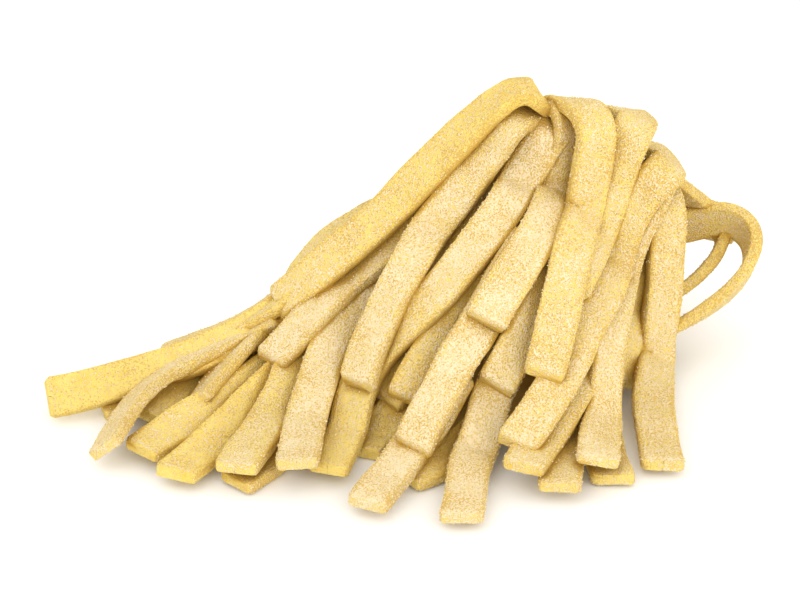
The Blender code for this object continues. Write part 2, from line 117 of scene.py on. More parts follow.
def moundSection(x):
    sections = moundShape["sections"]
    xs = [section[0] for section in sections]
    if not xs[0] < x < xs[-1]:
        return 0.0, 1.0
    i = max(k for k in range(len(xs) - 1) if xs[k] <= x)
    rows = [Vector(sections[min(max(k, 0), len(xs) - 1)][1:]) for k in range(i - 1, i + 3)]
    height, reach = catmullRom(*rows, (x - xs[i]) / (xs[i + 1] - xs[i]))
    return max(height, 0.0), max(reach, 1.0)


def moundHeight(x, y):
    height, reach = moundSection(x)
    r = moundShape["topRoundness"]
    slope = (math.hypot(y / reach, r) - r) / (math.hypot(1.0, r) - r)
    return max(height * (1.0 - slope), 0.0)


def moundNormal(x, y):
    d = noodleCut["width"] / 2
    along = (moundHeight(x + d, y) - moundHeight(x - d, y)) / (2 * d)
    over = (moundHeight(x, y + d) - moundHeight(x, y - d)) / (2 * d)
    return Vector((-along, -over, 1.0)).normalized()


def loft(mesh, rings):
    count = len(rings[0])
    for near, far in zip(rings, rings[1:]):
        for k in range(count):
            n = (k + 1) % count
            mesh.faces.new((near[k], near[n], far[n], far[k]))
    mesh.faces.new(list(reversed(rings[0])))
    mesh.faces.new(rings[-1])
    bmesh.ops.recalc_face_normals(mesh, faces=mesh.faces)
    bmesh.ops.triangulate(mesh, faces=mesh.faces)


def moundMesh(stations, profilePoints, shrink=1.0):
    mesh = bmesh.new()
    first, last = moundShape["sections"][0][0] + 1.0, moundShape["sections"][-1][0] - 1.0
    edges = (0, profilePoints - 1)
    rings = []
    for i in range(stations):
        x = first + (last - first) * i / (stations - 1)
        reach = moundSection(x)[1]
        ring = []
        for k in range(profilePoints):
            y = -reach * math.cos(math.pi * k / edges[1])
            z = 0.0 if k in edges else max(moundHeight(x, y) * shrink, moundShape["thinnest"])
            ring.append(mesh.verts.new((x, y * shrink, z)))
        rings.append(ring)
    loft(mesh, rings)
    return mesh


# how each noodle lies on the ones before it

# The routes are drawn on two views of the heap, one from the front and one from the back,
# and are the ones of the CAD solid.
drawing = {
    "elevation": math.radians(27.0),   # both drawings look down by this much
    "distance": 450.0,
    "aimReach": 25.0,
    "aimHeight": 28.0,
    "nearest": 90.0,                   # where the search along a sight line starts
    "step": 0.5,
    "steps": 400,
    "crestPass": 3.0,                  # how far past the ridge a leg's top may lie
}


def sightFrom(side):
    elevation = drawing["elevation"]
    aim = Vector((0.0, side * drawing["aimReach"], drawing["aimHeight"]))
    up = Vector((0.0, -side * math.sin(elevation), math.cos(elevation)))
    toEye = Vector((0.0, side * math.cos(elevation), math.sin(elevation)))
    return aim, up, toEye


def drawnPoint(across, up, nearness, side):
    aim, upAxis, toEye = sightFrom(side)
    shrink = (drawing["distance"] - nearness) / drawing["distance"]
    return aim + Vector((across * shrink, 0, 0)) + upAxis * (up * shrink) + toEye * nearness


def atDepth(across, up, depth):
    # the point of the front drawing that lies that far behind the middle
    aim, upAxis, toEye = sightFrom(-1)
    eye = aim + toEye * drawing["distance"]
    seen = aim + Vector((across, 0, 0)) + upAxis * up
    return eye + (seen - eye) * ((depth - eye.y) / (seen.y - eye.y))


def ontoMound(across, up, side):
    closest, clearance = None, math.inf
    for step in range(drawing["steps"]):
        point = drawnPoint(across, up, drawing["nearest"] - drawing["step"] * step, side)
        if point.y * side < -drawing["crestPass"]:
            break
        gap = point.z - moundHeight(point.x, point.y)
        if gap < clearance:
            closest, clearance = point, gap
        if gap <= 0:
            break
    return closest


def outwardAt(point, side):
    aim, _, toEye = sightFrom(side)
    return (aim + toEye * drawing["distance"] - point).normalized()


laying = {
    "tableSize": 400,
    "tableRaise": 0.14,
    "pressedIn": 0.35,                 # how far a noodle sinks into what it lies on
    "routeStep": 2.0,
    "stride": 4,
    "feelers": (-1.0, -0.5, 0.0, 0.5, 1.0),    # across a noodle, to find what is under it
    "feelerReach": 0.94,
    "feelerHeight": 160.0,
    "edgeOn": 0.45,                    # least flatness to the eye that counts
    "settlingRounds": 40,
    "steepestLean": 0.30,              # of a noodle across its width
    "leanRounds": 8,
    "facing": (0.3, 0.8),              # a foot's and a crest's turn from the slope to the eye
    "mostLift": 15.0,
    "liftAtCrest": 6.0,
    "liftEasesOver": 35.0,
    "bend": 3.0,                       # radius of the fold at the crest
    "bendTurn": math.radians(95.0),
    "bendSteps": 4,
    "turnCurve": 3,                    # how late a leg's own turn comes, towards its crest
    "floorStep": 0.012,                # keeps feet on the table at heights of their own
}


def clearancesAt(point, out, width, tangent, pile):
    flatness = max(abs(width.cross(tangent).dot(out)), laying["edgeOn"])
    depth = 0.5 * noodleCut["thickness"] / flatness - laying["pressedIn"]
    found = []
    for feeler in laying["feelers"]:
        sample = point + width * (feeler * laying["feelerReach"] * noodleCut["width"] / 2)
        hit = pile.ray_cast(sample + out * laying["feelerHeight"], -out)[0]
        found.append((hit - sample).dot(out) + depth)
    return found


def liftsFor(needed):
    lift = list(needed)
    for _ in range(laying["settlingRounds"]):
        lift = [max(need, (lift[max(i - 1, 0)] + lift[min(i + 1, len(lift) - 1)]) / 2)
                for i, need in enumerate(needed)]
    return evened(lift, 2)


def framed(points, widths):
    frames = []
    for point, tangent, width in zip(points, tangentsOf(points), widths):
        width = (width - tangent * width.dot(tangent)).normalized()
        frames.append((point, width, width.cross(tangent)))
    return frames


def layLeg(drawn, side, facing, turn, liftAtCrest, pile):
    step = laying["routeStep"]
    base = [ontoMound(across, up, side)
            for across, up, _ in smoothCurve([(*p, 0) for p in drawn], step)]
    outs = [outwardAt(point, side) for point in base]
    faces = [moundNormal(p.x, p.y) for p in base]
    faces = [Vector(f) for f in zip(*(evened([n[axis] for n in faces], 6) for axis in range(3)))]
    last = len(base) - 1
    fromFoot = [i / last if side < 0 else 1 - i / last for i in range(last + 1)]
    widths, needs = [], []
    for point, out, tangent, face, share in zip(base, outs, tangentsOf(base), faces, fromFoot):
        seen = facing[0] + (facing[1] - facing[0]) * share
        angle = math.radians(turn[0] + (turn[1] - turn[0]) * share ** laying["turnCurve"])
        flat = tangent.cross(face.lerp(out, seen)).normalized()
        widths.append(Quaternion(tangent, angle) @ flat)
        needs.append(clearancesAt(point, out, widths[-1], tangent, pile))
    steepest, width = laying["steepestLean"], noodleCut["width"]
    leans = [min(max((row[-1] - row[0]) / width, -steepest), steepest) for row in needs]
    leans = evened(leans, laying["leanRounds"])
    needed = []
    for row, lean, share in zip(needs, leans, fromFoot):
        belowTop = min(step * last * (1 - share) / laying["liftEasesOver"], 1.0)
        most = liftAtCrest + (laying["mostLift"] - liftAtCrest) * belowTop
        need = max(n - lean * f * width / 2 for n, f in zip(row, laying["feelers"]))
        needed.append(min(max(need, 0.0), most))
    points = [p + out * lift for p, out, lift in zip(base, outs, liftsFor(needed))]
    return framed(points, [w + out * lean for w, out, lean in zip(widths, outs, leans)])


def foldOver(front, back, radius):
    # a round bend about the noodle's own width, then an easy run to the leg behind, if any
    start, width, face = front[-1]
    rise = face.cross(width)
    turn = laying["bendTurn"]
    points, widths = [], []
    for k in range(1, laying["bendSteps"] + 1):
        angle = turn * k / laying["bendSteps"]
        points.append(start + rise * (radius * math.sin(angle))
                      - face * (radius * (1 - math.cos(angle))))
        widths.append(width)
    if not back:
        return framed([front[-1][0], *points], [width, *widths])[1:]
    top, lastWidth = points[-1], back[0][1]
    end = back[0][0]
    away = rise * math.cos(turn) - face * math.sin(turn)
    fall = (back[2][0] - end).normalized()
    span = (end - top).length
    steps = max(2, round(span / laying["routeStep"]))
    for k in range(1, steps):
        t = k / steps
        points.append(top * (2 * t ** 3 - 3 * t * t + 1) + end * (3 * t * t - 2 * t ** 3)
                      + away * span * (t ** 3 - 2 * t * t + t) + fall * span * (t ** 3 - t * t))
        widths.append(width.lerp(lastWidth, t))
    return framed([front[-1][0], *points, end], [width, *widths, lastWidth])[1:-1]


def layNoodle(noodle, pile):
    facing, turn = noodle.get("facing", laying["facing"]), noodle.get("turn", (0, 0))
    lift, usualLift = noodle.get("lift", laying["liftAtCrest"]), laying["liftAtCrest"]
    front, back, over = [], [], []
    if "front" in noodle:
        front = layLeg(noodle["front"], -1, facing, turn, lift, pile)
    if "back" in noodle:
        back = layLeg(noodle["back"], 1, laying["facing"], (0, 0), usualLift, pile)
    if "bend" in noodle or (front and back):
        over = foldOver(front, back, noodle.get("bend", laying["bend"]))
    return front + over + back


# Loops out of the steep shoulder, as (across, up, depth) on the front drawing, and the
# direction of the width at the start, the middle and the end.
shoulderLoops = (
    dict(line=((46, 27, 6), (52, 24.4, 9), (57.4, 20.4, 13), (61.5, 16.6, 17), (64, 12.6, 19)),
         across=((0.2, -0.8, 0.5), (0.2, -0.75, 0.6), (0.1, -0.6, 0.7)), dust=0.5),
    dict(line=((56, 16, 19), (61, 16.6, 18.6), (64.6, 14.8, 17), (64.6, 11.6, 14.4),
               (62.8, 8.2, 11.4), (60.4, 5.4, 8.4), (57.6, 3, 5.6), (53, 0.4, 2.6), (48, -1.6, 0)),
         across=((0, 0, 1), (0.1, -0.75, 0.65), (0.1, -0.9, 0.45)), dust=0.45),
    dict(line=((50, 14, 15), (57, 15, 14), (62.8, 16, 13), (67.4, 15.4, 11.4), (70.2, 12.6, 8.6),
               (70.4, 8.8, 5.6), (68.6, 4.8, 3), (64.8, 0.8, 1), (60, -2.6, -1), (55, -5.4, -2.4),
               (49, -7.4, -4)),
         across=((0, -0.05, 1), (0.1, -0.5, 0.85), (0.1, -0.9, 0.45)), dust=0.45),
)


def standLoop(loop):
    points = smoothCurve([atDepth(*p) for p in loop["line"]], laying["routeStep"])
    start, half, end = (Vector(direction) for direction in loop["across"])
    widths = []
    for i in range(len(points)):
        t = 2 * i / (len(points) - 1)
        widths.append(start.lerp(half, t) if t < 1 else half.lerp(end, t - 1))
    return framed(points, widths)


backFan = {
    "count": 13,
    "feet": (-14.0, 46.0),             # across, from the first leg to the last
    "tops": (16.0, 54.0),
    "peak": (0.45, 36.0, 34.0),        # where in the fan, how high, and the fall to each side
    "lowest": -40.0,
    "tailRise": 26.0,                  # how much higher the feet end at the tail
    "spread": 14.0,
    "bow": 4.0,
    "order": 5,                        # legs from one that is laid to the next
    "seed": 11,
}


def backLegs():
    draw = random.Random(backFan["seed"])
    peakAt, peak, fallOff = backFan["peak"]
    count, feet, tops = backFan["count"], backFan["feet"], backFan["tops"]
    legs = []
    for i in range(count):
        share = (i * backFan["order"] % count) / (count - 1)
        foot = feet[0] + (feet[1] - feet[0]) * share
        top = tops[0] + (tops[1] - tops[0]) * share
        height = peak - abs(share - peakAt) * fallOff
        rise = backFan["tailRise"] * (1 - share) ** 2
        low = backFan["lowest"] + rise + draw.uniform(0, backFan["spread"])
        bow = draw.uniform(-backFan["bow"], backFan["bow"])
        upper = (0.25 * foot + 0.75 * top + 0.6 * bow, 0.25 * low + 0.75 * height)
        lower = (0.62 * foot + 0.38 * top + bow, 0.62 * low + 0.38 * height)
        legs.append(dict(back=((top, height), upper, lower, (foot, low))))
    return legs


# A noodle's line on the front view starts at its foot, and its line on the back view at its
# crest. turn twists it, in degrees at the foot and the crest, bend is the radius of its fold,
# lift is how far its crest may ride up, and dust is how floury it is, at foot and crest.
endLegs = (
    dict(back=((30, 26), (8, 12), (-12, 1), (-28, -6), (-42, -13))),
    dict(back=((26, 28), (6, 15), (-11, 4), (-25, -4.4))),
    dict(back=((24, 30), (6, 13), (-8, -1), (-22, -12), (-34, -18.5))),
    dict(back=((22, 31), (7, 15), (-4, 0), (-15, -13), (-26, -22.5))),
    dict(back=((24, 33), (11, 16), (1, 0), (-8, -14), (-17, -27))),
    dict(back=((44, 22), (50, 8), (52, -8), (50, -24))),
    dict(back=((40, 26), (47, 14), (50, 0), (51, -16))),
)

lowerLegs = (
    dict(front=((-33, -36.6), (-28, -33), (-22, -28)), dust=0.5),
    dict(front=((1, -35.5), (7, -33), (13, -29), (17, -25)), dust=0.4),
    dict(front=((-7.6, -30.6), (-4, -26), (1, -20), (6, -13)), dust=0.4),
    dict(front=((-60, -20.6), (-53, -19.5), (-45, -17), (-36, -13)), facing=(0.6, 0.4), dust=0.5),
    dict(front=((-50, -23.6), (-45, -18.6), (-38, -13.5), (-29, -8)), dust=0.4),
    dict(front=((45.6, -17), (46.2, -8), (47.6, 0), (49.6, 9), (51.6, 15)), dust=0.5),
    dict(front=((42.8, -36), (41, -31), (40, -25), (40.6, -15), (42.6, -4)), dust=0.5),
    dict(front=((31.8, -37.6), (32.6, -32.4), (34, -26.4), (37, -17), (41, -7)), dust=0.6),
    dict(front=((-3, -20), (0.5, -15.6), (5, -9), (11, -1), (18, 9)), dust=0.5),
    dict(front=((1, -20), (4.5, -13.5), (9, -6.5), (15, 1.5), (22, 11)), dust=0.5),
    dict(front=((-7, -41), (-2.4, -35.6), (2, -30), (6.5, -23), (12, -14)), dust=0.95),
)

tailLegs = (
    dict(front=((-41, -21), (-38.6, -18), (-35, -13.2), (-31, -8.6), (-25.6, -3.6),
                (-17, 3)), turn=(-52, -40), lift=12, dust=0.65),
    dict(front=((-52, -30.2), (-47, -27.2), (-40, -23), (-33, -19), (-26, -14), (-18, -7)),
         dust=0.35),
    dict(front=((-48, -11), (-40, -8.4), (-34, -6), (-28, -3), (-22.8, 0.9), (-19, 6.1),
                (-14.9, 10.8), (-10, 14.2), (-4.4, 16.8), (1, 20), (8, 25)), turn=(-20, -10),
         dust=0.4),
    dict(front=((-70.4, -19.6), (-62, -17.8), (-54, -15.6), (-46, -13), (-37, -9.8), (-29, -6),
                (-21, -1)), facing=(1, 0.5), lift=15, dust=(0.02, 0.3)),
    dict(front=((-59, -29.8), (-55.4, -23.6), (-50.4, -17.6), (-44, -12.8), (-38, -9.8),
                (-32, -6.8), (-25, -2.5)), turn=(-50, -50), lift=15, dust=0.7),
    dict(front=((-45, -35), (-40, -30.8), (-34.4, -25.6), (-28.6, -20), (-22, -13),
                (-16, -6)), dust=0.25),
    dict(front=((-33, -33.8), (-27.8, -26.6), (-24, -19.6), (-20.4, -12), (-16, -4),
                (-10, 4)), dust=0.5),
)

upperLegs = (
    dict(front=((24.4, -33.6), (29.6, -26.4), (34, -19), (38, -11), (42, -2)), dust=0.6),
    dict(front=((52.6, -33.2), (51, -24), (50.6, -16), (51.6, -7), (53, 3), (53.4, 11),
                (53.2, 18.4)), bend=2.6,
         back=((52, 20), (52, 8), (51, -8), (49, -26)), dust=0.62),
    dict(front=((39.4, -32.4), (40.2, -24), (40.8, -16), (41.6, -7), (43.4, 3), (46, 12),
                (50, 21), (52, 26)), dust=0.75),
    dict(front=((12.2, -43.8), (13, -39), (14.2, -33), (16.2, -26), (19, -18), (23.4, -8),
                (29, 3)), dust=0.85),
    dict(front=((-6, -10), (1, 0), (6, 7), (11.4, 14.4), (16.6, 21.6), (20.6, 28.4),
                (22.6, 33)), back=((24, 32), (20, 14), (10, -4), (2, -20)), dust=0.65),
    dict(front=((2.2, -29.4), (6, -22.2), (9.6, -15.6), (14.4, -7), (20.5, 3), (27, 13)),
         dust=0.85),
    dict(front=((19, -17.4), (23, -10), (27, -2), (30.4, 7), (33, 16), (35, 26)), dust=0.7),
    dict(front=((17, -4.4), (20.4, 1), (24.4, 7.6), (28.2, 14), (31.6, 22), (33.6, 29),
                (34.4, 33)), turn=(0, 40), bend=4.4,
         back=((31, 32), (33, 22), (34, 4), (30, -16), (26, -38)), dust=0.75),
    dict(front=((-14.6, -34), (-11, -27), (-9, -19.5), (-5.4, -12), (1.5, -4.4), (10, 4), (20, 17),
                (26, 26.6), (28.8, 31.4)), bend=3.2, dust=(0.2, 1.0)),
    dict(front=((-20.6, -33), (-19.2, -26), (-17, -17), (-13.4, -8), (-8, 0.5), (0, 10)),
         dust=0.8),
    dict(front=((-26, -12), (-22.6, -8.6), (-17.6, -3), (-11, 3.2), (-3.6, 9.6), (4, 17),
                (12, 26)), dust=0.8),
    dict(front=((23.4, -29.2), (28, -22.2), (32.6, -14.6), (37.6, -5), (41.4, 4), (44.4, 12.4),
                (47.4, 19), (49.8, 22.8), (51.4, 24.6)), bend=2.8,
         back=((48, 25), (46, 14), (40, -6), (36, -28)), dust=(0.7, 0.5)),
    dict(front=((-8.6, -16.8), (-5.6, -8), (-1.6, 1), (4, 11), (10.4, 19.6), (16.6, 28),
                (21.4, 35)), back=((22, 37), (15, 24), (8, 8), (0, -10), (-8, -30)), dust=0.72),
    dict(front=((34, 2), (38, 10), (41.4, 19), (43.8, 27), (45.4, 31.2), (46.1, 33)), bend=2.8,
         back=((45, 31), (47, 20), (48, 2), (45, -20)), dust=0.5),
    dict(front=((-24.6, -1.4), (-19.4, 3), (-13, 8.4), (-3.6, 16.8), (2.6, 23), (12.4, 33),
                (18.4, 38.8), (22.6, 41.6)), facing=(0.8, 1), turn=(0, -50), bend=3.2,
         back=((28, 34), (27, 24), (22, 8), (16, -10), (10, -30)), dust=(0.5, 0.12)),
    dict(front=((28.6, -15), (30.2, -9), (32.4, 0), (34.6, 10), (37, 20), (38.6, 27),
                (39.2, 31.6)), turn=(0, 35), lift=11, bend=5.2,
         back=((31, 33), (23, 20), (10, 6), (-2, -12), (-8, -30)), dust=(0.6, 0.4)),
)


def addRibbon(pile, frames, floor):
    stride = laying["stride"]
    picked = frames[:-1:stride]
    if (len(frames) - 1) % stride in range(1, stride // 2):
        picked = picked[:-1]
    mesh = bmesh.new()
    rings = []
    for point, width, face in picked + [frames[-1]]:
        ring = []
        for w, f in ((-0.5, -0.5), (0.5, -0.5), (0.5, 0.5), (-0.5, 0.5)):
            corner = (point + width * (w * noodleCut["width"])
                      + face * (f * noodleCut["thickness"]))
            corner.z = max(corner.z, floor)
            ring.append(mesh.verts.new(corner))
        rings.append(ring)
    loft(mesh, rings)
    addTo(pile, mesh)


def addTo(pile, mesh):
    data = bpy.data.meshes.new("laid")
    mesh.to_mesh(data)
    pile.from_mesh(data)
    bpy.data.meshes.remove(data)
    mesh.free()


def layEverything():
    pile = bmesh.new()
    table = bmesh.ops.create_grid(pile, x_segments=1, y_segments=1, size=laying["tableSize"])
    bmesh.ops.translate(pile, verts=table["verts"], vec=(0, 0, laying["tableRaise"]))
    addTo(pile, moundMesh(moundShape["stations"], moundShape["profilePoints"]))
    kinds = {"loops": [], "back": [], "lower": [], "upper": []}
    laid = 1
    for loop in shoulderLoops:
        frames = standLoop(loop)
        kinds["loops"].append((loop, frames))
        addRibbon(pile, frames, laying["floorStep"] * laid)
        laid += 1
    order = (("back", endLegs), ("back", backLegs()), ("lower", lowerLegs),
             ("lower", tailLegs), ("upper", upperLegs))
    for kind, legs in order:
        for noodle in legs:
            frames = layNoodle(noodle, BVHTree.FromBMesh(pile))
            kinds[kind].append((noodle, frames))
            addRibbon(pile, frames, laying["floorStep"] * laid)
            laid += 1
    return kinds


# the finished noodles

noodleCut = {
    "width": 8.0,
    "thickness": 2.6,
    "spread": 1.04,                    # the dough is pressed a little wider than the knife's gap
    "cornerRound": 0.5,
    "station": 0.8,                    # spacing of the finished rings
    "widthVary": 0.035,
    "widthWave": 16.0,                 # lengths over which the cut changes
    "thicknessVary": 0.07,
    "thicknessWave": 9.0,
    "sway": 0.22,                      # sideways unevenness of the knife's cut
    "swayWave": 11.0,
    "relief": 0.07,                    # soft lumps of the dough
    "lumpSizes": (2.2, 0.9),
    "endRound": 0.5,
    "endRoundLength": 0.9,
    "endSkew": 0.16,
    "endSkewLength": 4.0,
    "endSlant": 0.75,                  # how much a steep end is cut on a slant
    "endSlantLength": 3.0,
    "offTable": 0.05,
    "flank": 0.35,                     # how far in from its edge a noodle counts as flank
    "dust": (0.45, 0.75),              # where its table gives none
    "dustRun": 90.0,                   # from a foot's dust to a crest's
    "sharpFrom": math.radians(50),
    "seed": 3,
}


def sectionOf(width, thickness, rounding, across=9):
    # points round the cut, anticlockwise as (across the width, along the face)
    halfWidth, halfThick = width / 2, thickness / 2
    flat = halfWidth - rounding
    corner = [(math.cos(a) * rounding, math.sin(a) * rounding)
              for a in (math.radians(d) for d in (8, 30, 60, 82))]
    points = [(halfWidth, 0.0)]
    points += [(flat + c, halfThick - rounding + s) for c, s in corner]
    points += [(flat - 2 * flat * k / across, halfThick) for k in range(1, across)]
    points += [(-flat - c, halfThick - rounding + s) for c, s in reversed(corner)]
    points += [(-halfWidth, 0.0)]
    points += [(-flat - c, rounding - halfThick - s) for c, s in corner]
    points += [(-flat + 2 * flat * k / across, -halfThick) for k in range(1, across)]
    points += [(flat + c, rounding - halfThick - s) for c, s in reversed(corner)]
    return np.array(points)


def resampled(frames, station):
    points = np.array([f[0] for f in frames])
    widths = np.array([f[1] for f in frames])
    steps = np.linalg.norm(np.diff(points, axis=0), axis=1)
    along = np.concatenate([[0.0], np.cumsum(steps)])
    count = max(4, round(along[-1] / station))
    wanted = np.linspace(0.0, along[-1], count + 1)
    points = np.stack([np.interp(wanted, along, points[:, k]) for k in range(3)], axis=1)
    widths = np.stack([np.interp(wanted, along, widths[:, k]) for k in range(3)], axis=1)
    for values in (points, widths):
        for _ in range(5):
            values[1:-1] = (values[:-2] + 2 * values[1:-1] + values[2:]) / 4
    tangents = np.gradient(points, axis=0)
    tangents /= np.linalg.norm(tangents, axis=1)[:, None]
    widths -= tangents * np.sum(widths * tangents, axis=1)[:, None]
    widths /= np.linalg.norm(widths, axis=1)[:, None]
    return points, widths, tangents, wanted


def wander(along, scale, seed):
    return np.array([noise.noise(Vector((a / scale, seed * 7.31, 0.0))) for a in along])


def fading(distance, reach):
    # 1 at no distance, 0 from the reach on
    return np.clip(1.0 - distance / reach, 0.0, 1.0)


shelter = {
    "reach": 9.0,                      # how near another noodle has to be to count
    "tilts": (0, 50, 50, 50, 50, 50),  # of the feelers from straight up, in degrees
    "turn": 72,                        # of each feeler from the one before it
    "stand": 0.2,                      # how far off the surface they start
    "every": 3,                        # rings that are felt, those between are blended
    "gain": 1.6,
}


# the pasta paint uses this for painted shade, turning crevices dark brown and setting more pits
# there, and to thin the dust there
def shelterOf(verts, outward, tangents, heap):
    # how closely the heap hems in each point of the rings, 0 in the open and 1 in a crack
    rings, ringSize = verts.shape[:2]
    reach = shelter["reach"]
    rows = sorted({*range(0, rings, shelter["every"]), rings - 1})
    found = np.zeros((len(rows), ringSize))
    for i, row in enumerate(rows):
        along = Vector(tangents[row])
        for k in range(ringSize):
            up = Vector(outward[row, k])
            side = up.cross(along)
            start = Vector(verts[row, k]) + up * shelter["stand"]
            for feeler, tilt in enumerate(shelter["tilts"]):
                a, t = math.radians(shelter["turn"] * feeler), math.radians(tilt)
                way = up * math.cos(t) + (along * math.cos(a) + side * math.sin(a)) * math.sin(t)
                distance = heap.ray_cast(start, way, reach)[3]
                if distance is not None:
                    found[i, k] += (1 - distance / reach) / len(shelter["tilts"])
    found = np.clip(found * shelter["gain"], 0.0, 1.0)
    return np.stack([np.interp(np.arange(rings), rows, found[:, k]) for k in range(ringSize)],
                    axis=1)


def shapeNoodle(noodle, frames, seed, draw):
    cut = noodleCut
    points, widths, tangents, along = resampled(frames, cut["station"])
    faces = np.cross(widths, tangents)
    section = sectionOf(cut["width"] * cut["spread"], cut["thickness"], cut["cornerRound"])
    ringSize = len(section)
    wide = 1.0 + cut["widthVary"] * 2 * wander(along, cut["widthWave"], seed)
    thick = 1.0 + cut["thicknessVary"] * 2 * wander(along, cut["thicknessWave"], seed + 0.4)
    sway = cut["sway"] * 2 * wander(along, cut["swayWave"], seed + 0.8)
    toEnd = np.minimum(along, along[-1] - along)
    pinch = fading(toEnd, cut["endRoundLength"]) ** 2 * cut["endRound"]
    halfW = section[:, 0][None, :] * wide[:, None] + sway[:, None]
    halfW -= np.sign(section[:, 0])[None, :] * pinch[:, None]
    halfF = section[:, 1][None, :] * thick[:, None]
    halfF -= np.sign(section[:, 1])[None, :] * pinch[:, None] * 0.6
    skews = [draw.uniform(-1, 1) * cut["endSkew"] for _ in range(2)]
    skew = (skews[0] * fading(along, cut["endSkewLength"])
            + skews[1] * fading(along[-1] - along, cut["endSkewLength"]))
    steepness = np.abs(tangents[[0, -1], 2])
    slant = cut["endSlant"] * (steepness[0] * fading(along, cut["endSlantLength"])
                               - steepness[1] * fading(along[-1] - along, cut["endSlantLength"]))
    slip = skew[:, None] * halfW + slant[:, None] * halfF
    verts = (points[:, None, :] + widths[:, None, :] * halfW[:, :, None]
             + faces[:, None, :] * halfF[:, :, None]
             + tangents[:, None, :] * slip[:, :, None])
    outward = (widths[:, None, :] * np.sign(section[:, 0])[None, :, None]
               * (np.abs(section[:, 0]) > cut["width"] / 2 - cut["cornerRound"])[None, :, None]
               + faces[:, None, :] * np.sign(section[:, 1])[None, :, None])
    outward /= np.maximum(np.linalg.norm(outward, axis=2), 1e-6)[:, :, None]
    flat = verts.reshape(-1, 3)
    large, small = cut["lumpSizes"]
    lumps = np.array([noise.noise(Vector(v) / large) + 0.6 * noise.noise(Vector(v) / small)
                      for v in flat])
    flat = flat + outward.reshape(-1, 3) * (lumps * cut["relief"])[:, None]
    flat[:, 2] = np.maximum(flat[:, 2], cut["offTable"])
    dust = noodle.get("dust", draw.uniform(*cut["dust"]))
    atFoot, atCrest = dust if isinstance(dust, tuple) else (dust, dust)
    return {
        "dust": np.interp(along, (0.0, cut["dustRun"]), (atFoot, atCrest)),
        "tone": draw.random(),
        "verts": flat.reshape(len(points), ringSize, 3),
        "outward": outward,
        "tangents": tangents,
        "toEnd": toEnd,
        "flank": (np.abs(section[:, 0]) > cut["width"] / 2 - cut["flank"]).astype(float),
    }


def skinOf(shape, count):
    # vertices and faces of one noodle, the rings first and then the middle of each cut end,
    # with every face turned outward
    rings, ringSize = shape["verts"].shape[:2]
    index = np.arange(rings * ringSize).reshape(rings, ringSize)
    near, far = index[:-1], index[1:]
    sides = np.stack([near, far, np.roll(far, -1, axis=1), np.roll(near, -1, axis=1)], axis=2)
    polygons = (sides.reshape(-1, 4) + count).tolist()
    hub = rings * ringSize + count
    for ring, step, tip in ((index[0] + count, 1, hub), (index[-1] + count, -1, hub + 1)):
        after = np.roll(ring, -step)
        polygons += [(tip, int(a), int(b)) for a, b in zip(ring, after)]
    hubs = shape["verts"][[0, -1]].mean(axis=1)
    return np.concatenate([shape["verts"].reshape(-1, 3), hubs]), polygons


def boxed(verts):
    # from the drawings' millimetres to the frame's metres, kept within the CAD solid's box
    verts = (verts - np.array(middle)) * mm
    return np.clip(verts, np.array(cadLow), np.array(cadHigh))


def meshPiece(name, verts, polygons, marks, material):
    data = bpy.data.meshes.new(name)
    data.from_pydata(boxed(verts).tolist(), [], polygons)
    for mark, values in marks.items():
        layer = data.attributes.new(mark, "FLOAT", "POINT")
        layer.data.foreach_set("value", values.astype(np.float32))
    data.materials.append(material)
    piece = bpy.data.objects.new(name, data)
    bpy.context.scene.collection.objects.link(piece)
    print(name, sum(len(p.vertices) - 2 for p in data.polygons), "triangles")
    return piece


def skinsOf(shapes):
    verts, polygons, count = [], [], 0
    for shape in shapes:
        more, faces = skinOf(shape, count)
        verts.append(more)
        polygons += faces
        count += len(more)
    return np.concatenate(verts), polygons


def buildKind(name, shapes, material):
    verts, polygons = skinsOf(shapes)
    marks = []
    for shape in shapes:
        rings, ringSize = shape["verts"].shape[:2]
        atEnd = np.zeros((rings, ringSize))
        atEnd[[0, -1]] = 1.0
        toEnd = np.repeat(shape["toEnd"], ringSize)
        hubs = shape["sheltered"][[0, -1]].mean(axis=1)
        dust = np.append(np.repeat(shape["dust"], ringSize), shape["dust"][[0, -1]])
        flank = np.append(np.tile(shape["flank"], rings), [0.0, 0.0])
        marks.append(np.stack([dust, np.full(len(dust), shape["tone"]),
                               np.append(atEnd, [1.0, 1.0]), np.append(toEnd, [0.0, 0.0]),
                               np.append(shape["sheltered"], hubs), flank]))
    names = ("dusting", "tone", "cutEnd", "toEnd", "sheltered", "flank")
    marks = dict(zip(names, np.concatenate(marks, axis=1)))
    piece = meshPiece(name, verts, polygons, marks, material)
    piece.data.shade_smooth()
    piece.data.set_sharp_from_angle(angle=noodleCut["sharpFrom"])
    return piece


semolina = {
    "grains": 32000,
    "sizes": (0.10, 0.26),             # from the middle of a grain to its corners
    "patches": 3.0,                    # how wide the thick and the thin patches of it are
    "tries": 44,                       # for each ring of a noodle, to find room
    "avoidShelter": 1.3,
    "proud": 0.4,                      # of a grain's size, how far out it sits
    "stretch": (0.7, 1.2),
    "pale": (0.84, 0.74, 0.48, 1.0),
    "dark": (0.78, 0.59, 0.24, 1.0),
    "seed": 5,
}


